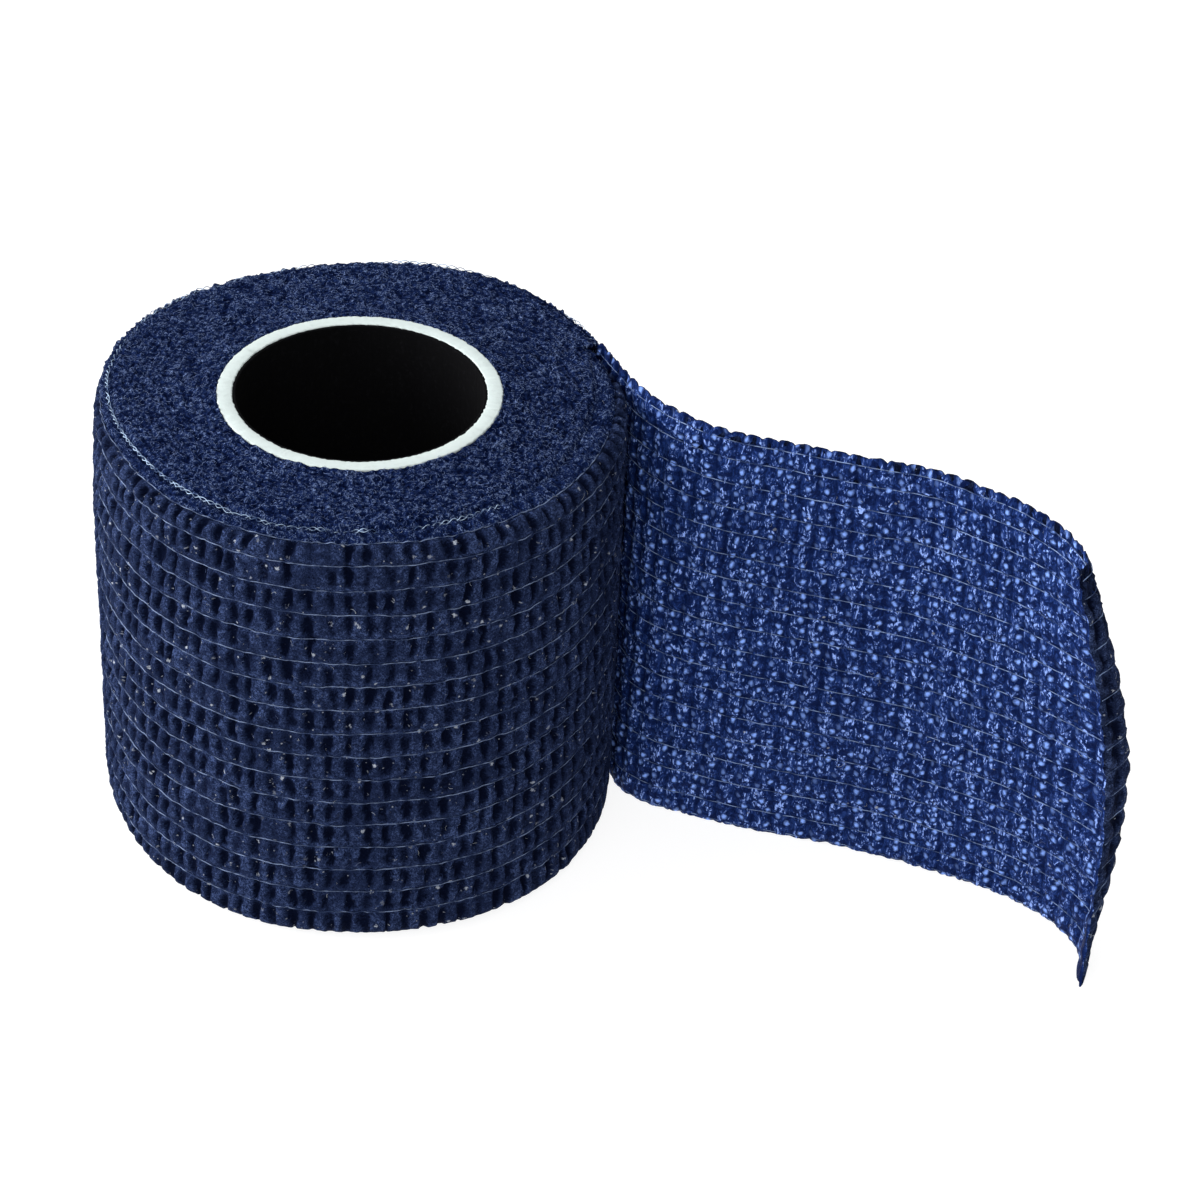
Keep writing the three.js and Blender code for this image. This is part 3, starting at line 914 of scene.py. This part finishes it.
def end_face(name, upper):
    """One end of the roll: the crumpled edges of all the turns, as a closed slab under the rim."""
    step, step_round = (0.16, 0.25) if upper else (0.3, 0.5)
    bore = CORE_RADIUS - 0.05
    girth, across = 2 * math.pi * 27, 26.5 - bore
    back = np.linspace(0, 2 * math.pi, round(girth / step_round) + 1)[:, None]
    part = np.linspace(1, 0, round(across / step))[None, :]
    if upper:
        edge = on_roll(back, TAPE_WIDTH - 0.5, -0.7)
        outer = np.hypot(edge[..., 0], edge[..., 1])
        part = np.pad(part, ((0, 0), (0, 1)))
    else:
        outer = crest_radius(back) - FOOT_INSET - 0.6
    radius = bore + part * (outer - bore)
    x, y = np.moveaxis(on_circle(radius, back, 0), -1, 0)[:2]
    turns = (crest_radius(back) - radius) / TURN_PITCH + back / (2 * math.pi)
    ridges = TURN_RIDGE * np.cos(2 * math.pi * (turns + grains(x, y, TURN_STRAY)))
    raised = np.clip(RAISED + ridges + grains(x, y, TURN_LUMPS), 0, 1)
    relief = TURN_DEPTH * (raised - RAISED)
    if upper:
        tuck = 0.6 * fade(outer - radius, 0.7) ** 2
        seat = TOP_SEAT
        height = read_smoothly(TOP_FACE, radius) + relief - tuck
        height[:, -1] = seat
    else:
        seat = FOOT_SEAT
        height = np.clip(0.05 - relief, 0, None)
    under = [on_circle(edge, back, seat) for edge in (bore + 0.01, outer)]
    sections = np.concatenate([on_circle(radius, back, height)] + under, 1)
    hidden = (0, 0), (0, len(under))
    # Painted shade in the gaps between the raised turns
    marks = {"painted_shade": np.pad(1 - raised, hidden), "bare": np.pad(np.ones_like(raised), hidden)}
    if not upper:
        sections = sections[:, ::-1]
        marks = {mark: values[:, ::-1] for mark, values in marks.items()}
    return skin(name, sections, True, marks, sections[..., :2].copy())


class LooseEnd:
    """The loose end in space: the middle of the sheet and its outward direction."""

    def __init__(self, step):
        table = np.array(LOOSE_END)
        low_points, high_points = np.pad(table[:, :2], ((0, 0), (0, 1))), table[:, 2:]
        fine = np.linspace(0, len(LOOSE_END) - 1, 1500)
        low, high = through_points(low_points, fine), through_points(high_points, fine)
        middle = (low[:, :2] + high[:, :2]) / 2
        lengths = np.linalg.norm(np.diff(middle, axis=0), axis=1)
        run = np.concatenate([[0], np.cumsum(lengths)])
        start = ROOT_RADIUS * (math.radians(LEAVING_ANGLE) - ROOT_ANGLE)
        self.length = run[-1] + start
        self.along = np.linspace(0, self.length, round(self.length / step) + 1)
        place = np.interp(self.along - start, run, fine)
        early = np.clip(self.along - start, None, 0)[:, None]
        self.low, self.high = through_points(low_points, place), through_points(high_points, place)
        lead = middle[1] - middle[0]
        lead = lead / np.linalg.norm(lead)
        self.low[:, :2] += early * lead
        self.high[:, :2] += early * lead

    def at(self, up):
        """Middle of the sheet and outward direction at each column and each of these heights."""
        part = (up / TAPE_WIDTH)[None, :, None]
        middle = self.low[:, None] * (1 - part) + self.high[:, None] * part
        bow = np.sin(math.pi * np.clip(part[..., 0], 0, 1)) ** BELLY_SHARPNESS
        middle[..., 0] += self.high[:, None, 2] * bow
        middle[..., 2] = up
        ahead = np.gradient(middle, axis=0)
        outward = np.stack([-ahead[..., 1], ahead[..., 0], 0 * ahead[..., 0]], -1)
        return middle, outward / np.linalg.norm(outward, axis=-1, keepdims=True)


def loose_cloth(crinkle, sheet, thickness):
    """The loose end: both crinkled faces, its scalloped edges and its ragged cut. Also which of its
    faces are on the outside."""
    edge_heights = [0.12, 0.26, TAPE_WIDTH - 0.26, TAPE_WIDTH - 0.12]
    up = np.sort(np.concatenate([row_heights(), edge_heights]))
    middle, outward = sheet.at(up)
    along, up = sheet.along[:, None], up[None, :]
    to_cut, to_top = sheet.length - along, TAPE_WIDTH - up
    outer, pit = crinkle.outer(along, up)
    inner, furrow, ribs = crinkle.inner(along, up)
    half, edge = thickness / 2, np.minimum(up, to_top)
    full = np.sqrt(1 - fade(edge, half) ** 2) * np.sqrt(1 - fade(to_cut, half) ** 2)
    full = 0.4 + 0.6 * full
    ragged = grains(up, 0 * along, CUT_STRAY) * fade(to_cut, CUT_REACH)
    tangent = np.stack([outward[..., 1], -outward[..., 0], 0 * outward[..., 0]], -1)
    middle = middle + ragged[..., None] * tangent
    tuft = 1 - np.abs(2 * (ribs % 1) - 1) ** 4
    scallop = SCALLOP * tuft - 0.06 + grains(along, up, SCALLOP_STRAY)
    scallop = scallop * fade(edge, SCALLOP_REACH)
    middle[..., 2] += np.where(up < 1, -scallop, scallop)
    middle[..., 2] = np.clip(middle[..., 2], 0.02, None)
    shaded = furrow
    high = fade(ROLL_SHADE_HEIGHT - up, ROLL_SHADE[1])
    for distance, (depth, reach), share in (
            (to_top, TOP_SHADE, 1), (to_cut, CUT_SHADE, 1), (along, ROLL_SHADE, high)):
        shaded = shaded + depth * fade(distance, reach) * share
    outside = middle + outward * (full * (half - 0.15 + outer))[..., None]
    inside = middle - outward * (full * (half - 0.05 + inner))[..., None]
    sections = np.concatenate([inside, outside[:, ::-1]], 1)
    inner_tape, outer_tape = [
        np.stack(np.broadcast_arrays(x, up), -1) for x in (ribs * crinkle.pitch, along)]
    tape = np.concatenate([inner_tape, outer_tape[:, ::-1]], 1)
    bare = (up > LINT_FROM) + 0 * pit
    # Painted shade: on the inner face in its furrows, below its top edge, beside its cut and beside the
    # roll; on the outer face in its pits
    marks = {"painted_shade": np.concatenate([shaded, pit[:, ::-1]], 1),
             "bare": np.concatenate([bare, 0.5 * bare[:, ::-1]], 1)}
    mesh = skin("loose_end_cloth", sections, False, marks, tape)
    count, spans = up.size, len(sheet.along) - 1
    outer_faces = np.zeros(len(mesh.polygons), np.int32)
    outer_faces[: spans * 2 * count] = np.tile(np.arange(2 * count) >= count - 1, spans)
    return mesh, outer_faces


def lines_mesh(name, lines):
    """A mesh of open lines, each an array of points in millimetres from the roll's axis."""
    points = np.concatenate(lines) + (AXIS.x, AXIS.y, 0)
    ends = np.cumsum([len(line) for line in lines])
    edges = [(i, i + 1) for i in range(len(points) - 1) if i + 1 not in ends]
    mesh = bpy.data.meshes.new(name)
    mesh.from_pydata((points * MM).tolist(), edges, [])
    return mesh


def roll_threads(crinkle):
    """Lines of the elastic threads round the roll, but for the rim's own thread."""
    back = np.linspace(0.002, 2 * math.pi - 0.01, 600)[:, None]
    along = -back * crest_radius(back).mean()
    up = THREAD_UP[None, :-1]
    near = crinkle.outer(along, up)[0]
    sag = grains(along, 9 * up, THREAD_SAG)
    lines = on_roll(back, np.maximum(up + sag, 0), 0.5 * near - 0.01 - CREST_DEPTH)
    lines = list(np.moveaxis(lines, 1, 0))
    lines[-1] = lines[-1][back[:, 0] < math.radians(NEXT_THREAD_END)]
    return lines


def rim_strands(crinkle):
    """Two strands twisted round each other, on the upper edge of the outermost turn."""
    twist, reach = 2.1, 0.18
    back = np.linspace(0.02, math.radians(RIM_THREAD_END), 820)[:, None]
    along = -back * crest_radius(back).mean()
    degrees = np.degrees(back)
    to_ends = np.minimum(degrees - RIM_THREAD_SHOWS, RIM_THREAD_SINKS - degrees)
    shows = np.clip(to_ends / 12, 0, 1)
    out = -0.24 - (1 - shows) * (0.34 - grains(along, 0 * along, THREAD_DEPTH))
    phase = 2 * math.pi * (along / twist + grains(along, 0 * along, TWIST_STRAY))
    return [on_roll(back, THREAD_UP[-1] + side * np.cos(phase), out + side * np.sin(phase))[:, 0]
            for side in (reach, -reach)]


def loose_threads(sheet, half):
    """Lines of the elastic threads along both faces of the loose end."""
    middle, outward = sheet.at(np.maximum(THREAD_UP, 0.4))
    lines = []
    for offset in (half - 0.24, 0.14 - half):
        lines.extend(np.moveaxis((middle + offset * outward)[1:-2:3], 1, 0))
    return lines


# Operators

class BANDAGE_OT_core(bpy.types.Operator):
    """Make the paperboard core and the black paper inside it"""

    bl_idname = "bandage.core"
    bl_label = "Core"

    def execute(self, context):
        core = context.scene.bandage_core
        tree = tube_tree()
        radius = CORE_RADIUS - 0.1
        board_paper = paper_material("paperboard", core.board_colour, 0.8, 0.3, 1.6, 4, 0.75, 0.92, 0.03)
        board = grown_piece(
            "core_board", bpy.data.meshes.new("blank"), tree, "paperboard", material=board_paper,
            radius=radius * MM, wall=core.wall, length=(CORE_TOP - 0.12) * MM, floor=0.12 * MM,
            edge=core.edge, ragged=core.ragged, ragged_length=0.4 * MM, seed=2.0)
        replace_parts(board, "core_tube")
        ply_paper = paper_material("black paper", core.ply_colour, 0.9, 0.04, 2, 3, 0.8, 2.2, 0.02)
        lining = grown_piece(
            "core_black_ply", bpy.data.meshes.new("blank"), tree, "black_paper", material=ply_paper,
            radius=(radius + 0.06) * MM - core.wall, wall=0.4 * MM, length=(CORE_TOP - 0.3) * MM,
            floor=0.2 * MM, edge=0.1 * MM, ragged=0.2 * core.ragged, ragged_length=0.4 * MM, seed=5.0)
        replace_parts(lining, "core_inner_ply")
        return {"FINISHED"}


class BANDAGE_OT_wound_cloth(bpy.types.Operator):
    """Make the wound cloth: its crinkled side and both end faces"""

    bl_idname = "bandage.wound_cloth"
    bl_label = "Wound cloth"

    def execute(self, context):
        cloth = context.scene.bandage_cloth
        mesh, crumpled = wound_side(Crinkle(cloth), cloth.column_step / MM)
        paint = end_cloth(cloth)
        side = add_piece("wound_cloth_side", mesh, "cloth", outer_cloth(cloth), paint)
        mesh.polygons.foreach_set("material_index", crumpled)
        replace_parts(side, "wound_cloth")
        for name, upper in (("wound_cloth_end_top", True), ("wound_cloth_end_foot", False)):
            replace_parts(add_piece(name, end_face(name, upper), "cloth", paint), "wound_cloth")
        return {"FINISHED"}


class BANDAGE_OT_loose_end(bpy.types.Operator):
    """Make the loose end of the cloth"""

    bl_idname = "bandage.loose_end"
    bl_label = "Loose end"

    def execute(self, context):
        cloth = context.scene.bandage_cloth
        sheet = LooseEnd(cloth.column_step / MM)
        mesh, outer_faces = loose_cloth(Crinkle(cloth), sheet, cloth.thickness / MM)
        outer = bpy.data.materials["crinkled cloth, outer face"]
        piece = add_piece("loose_end_cloth", mesh, "cloth", inner_cloth(cloth), outer)
        mesh.polygons.foreach_set("material_index", outer_faces)
        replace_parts(piece, "loose_end")
        return {"FINISHED"}


class BANDAGE_OT_threads(bpy.types.Operator):
    """Lay the elastic threads on the roll and on the loose end"""

    bl_idname = "bandage.threads"
    bl_label = "Elastic threads"

    def execute(self, context):
        cloth, thread = context.scene.bandage_cloth, context.scene.bandage_thread
        crinkle, tree = Crinkle(cloth), strand_tree()
        sheet = LooseEnd(cloth.column_step / MM)
        loose = loose_threads(sheet, cloth.thickness / MM / 2)
        for name, lines, radius, wobble, tint, seed in (
                ("roll_threads", roll_threads(crinkle), thread.radius, 1, thread.colour, 3.0),
                ("rim_thread", rim_strands(crinkle), thread.strand_radius, 0.5, thread.rim_colour, 8.0),
                ("loose_threads", loose, thread.loose_radius, 1, thread.loose_colour, 4.0)):
            mesh = lines_mesh(name + "_lines", lines)
            paint = thread_material(name.replace("_", " "), tint)
            grown_piece(name, mesh, tree, "cloth", material=paint, seed=seed, radius=radius,
                        wobble=wobble * thread.wobble, wobble_length=1.3 * MM, sides=4)
        return {"FINISHED"}


class BANDAGE_OT_lint(bpy.types.Operator):
    """Scatter stray fibres over the cloth"""

    bl_idname = "bandage.lint"
    bl_label = "Lint"

    def execute(self, context):
        cloth, thread = context.scene.bandage_cloth, context.scene.bandage_thread
        tree = lint_tree()
        pale = lint_material("pale lint", thread.lint_colour, cloth.fibre_colour)
        blue = lint_material("blue lint", cloth.fibre_colour, cloth.end_fibre_colour)
        size = {"curl": thread.lint_curl, "radius": thread.lint_radius, "lift": 0.03 * MM}
        for host, per_mm2, paint, seed in (("wound_cloth_side", 0.06, pale, 5),
                                           ("wound_cloth_end_top", 2.6, blue, 6),
                                           ("loose_end_cloth", 0.08, pale, 7)):
            mesh = bpy.data.objects[host].data
            density = per_mm2 / MM ** 2
            grown_piece(host + "_lint", mesh, tree, "cloth", material=paint, density=density,
                        seed=seed, **size)
        return {"FINISHED"}


class BANDAGE_OT_stage(bpy.types.Operator):
    """Set up the camera, the floor and the soft studio light"""

    bl_idname = "bandage.stage"
    bl_label = "Stage"

    def execute(self, context):
        stage, scene = context.scene.bandage_stage, context.scene
        scene.view_settings.view_transform = "Standard"
        camera = bpy.data.objects.new("camera", bpy.data.cameras.new("camera"))
        camera.data.sensor_width = SENSOR_WIDTH
        camera.data.lens = stage.lens
        camera.location = [(a + b) * MM for a, b in zip((AXIS.x, AXIS.y, 0), CAMERA_PLACE)]
        camera.rotation_euler = CAMERA_TURN
        scene.collection.objects.link(camera)
        scene.camera = camera

        mesh = bpy.data.meshes.new("floor")
        corners = [Vector((x, y, 0)) * FLOOR_REACH for x, y in ((-1, -1), (1, -1), (1, 1), (-1, 1))]
        mesh.from_pydata(corners, [], [(0, 1, 2, 3)])
        floor = bpy.data.objects.new("floor", mesh)
        material, _, shader = new_material("floor", 0.9, 0.1)
        shader.inputs["Base Color"].default_value = (*stage.floor_colour, 1)
        shader.inputs["Emission Color"].default_value = (1, 1, 1, 1)
        shader.inputs["Emission Strength"].default_value = stage.floor_glow
        mesh.materials.append(material)
        scene.collection.objects.link(floor)

        world = bpy.data.worlds.new("surround")
        world.use_nodes = True
        light_round = world.node_tree.nodes["Background"].inputs
        light_round["Color"].default_value = (1, 1, 1, 1)
        light_round["Strength"].default_value = stage.surround
        scene.world = world
        aim = Vector((AXIS.x * MM + 0.02, AXIS.y * MM, 0.025))
        for name, power, place, size in (
                ("front", stage.front_power, (-0.25, -0.75, 0.55), 1.0),
                ("rim", stage.rim_power, (-0.77, 0.12, 0.25), 1.0),
                ("top", stage.top_power, (-0.1, 0.1, 1.1), 0.9)):
            light = bpy.data.objects.new(name, bpy.data.lights.new(name, "AREA"))
            light.data.shape = "DISK"
            light.data.size = size
            light.data.energy = power
            light.location = Vector(place)
            light.rotation_mode = "QUATERNION"
            light.rotation_quaternion = (aim - Vector(place)).to_track_quat("-Z", "Y")
            scene.collection.objects.link(light)
        return {"FINISHED"}


class BANDAGE_PT_panel(bpy.types.Panel):
    """Sizes, colours and steps of the bandage roll"""

    bl_idname = "BANDAGE_PT_panel"
    bl_label = "Bandage roll"
    bl_space_type = "VIEW_3D"
    bl_region_type = "UI"
    bl_category = "Bandage"

    def draw(self, context):
        for group in GROUPS:
            settings = getattr(context.scene, group)
            box = self.layout.box()
            for name in settings.bl_rna.properties.keys():
                if name not in ("rna_type", "name"):
                    box.prop(settings, name)
        for step in STEPS:
            self.layout.operator(step.bl_idname)


GROUPS = {
    "bandage_cloth": BandageCloth,
    "bandage_thread": BandageThread,
    "bandage_core": BandageCore,
    "bandage_stage": BandageStage,
}
STEPS = (
    BANDAGE_OT_stage,
    BANDAGE_OT_core,
    BANDAGE_OT_wound_cloth,
    BANDAGE_OT_loose_end,
    BANDAGE_OT_threads,
    BANDAGE_OT_lint,
)


def register():
    for kind in (*GROUPS.values(), *STEPS, BANDAGE_PT_panel):
        bpy.utils.register_class(kind)
    for name, kind in GROUPS.items():
        setattr(bpy.types.Scene, name, PointerProperty(type=kind))


def unregister():
    for name in GROUPS:
        delattr(bpy.types.Scene, name)
    for kind in (BANDAGE_PT_panel, *STEPS, *GROUPS.values()):
        bpy.utils.unregister_class(kind)


def main():
    register()
    bpy.ops.bandage.stage()
    bpy.ops.bandage.core()
    bpy.ops.bandage.wound_cloth()
    bpy.ops.bandage.loose_end()
    bpy.ops.bandage.threads()
    bpy.ops.bandage.lint()


if __name__ == "__main__":
    main()
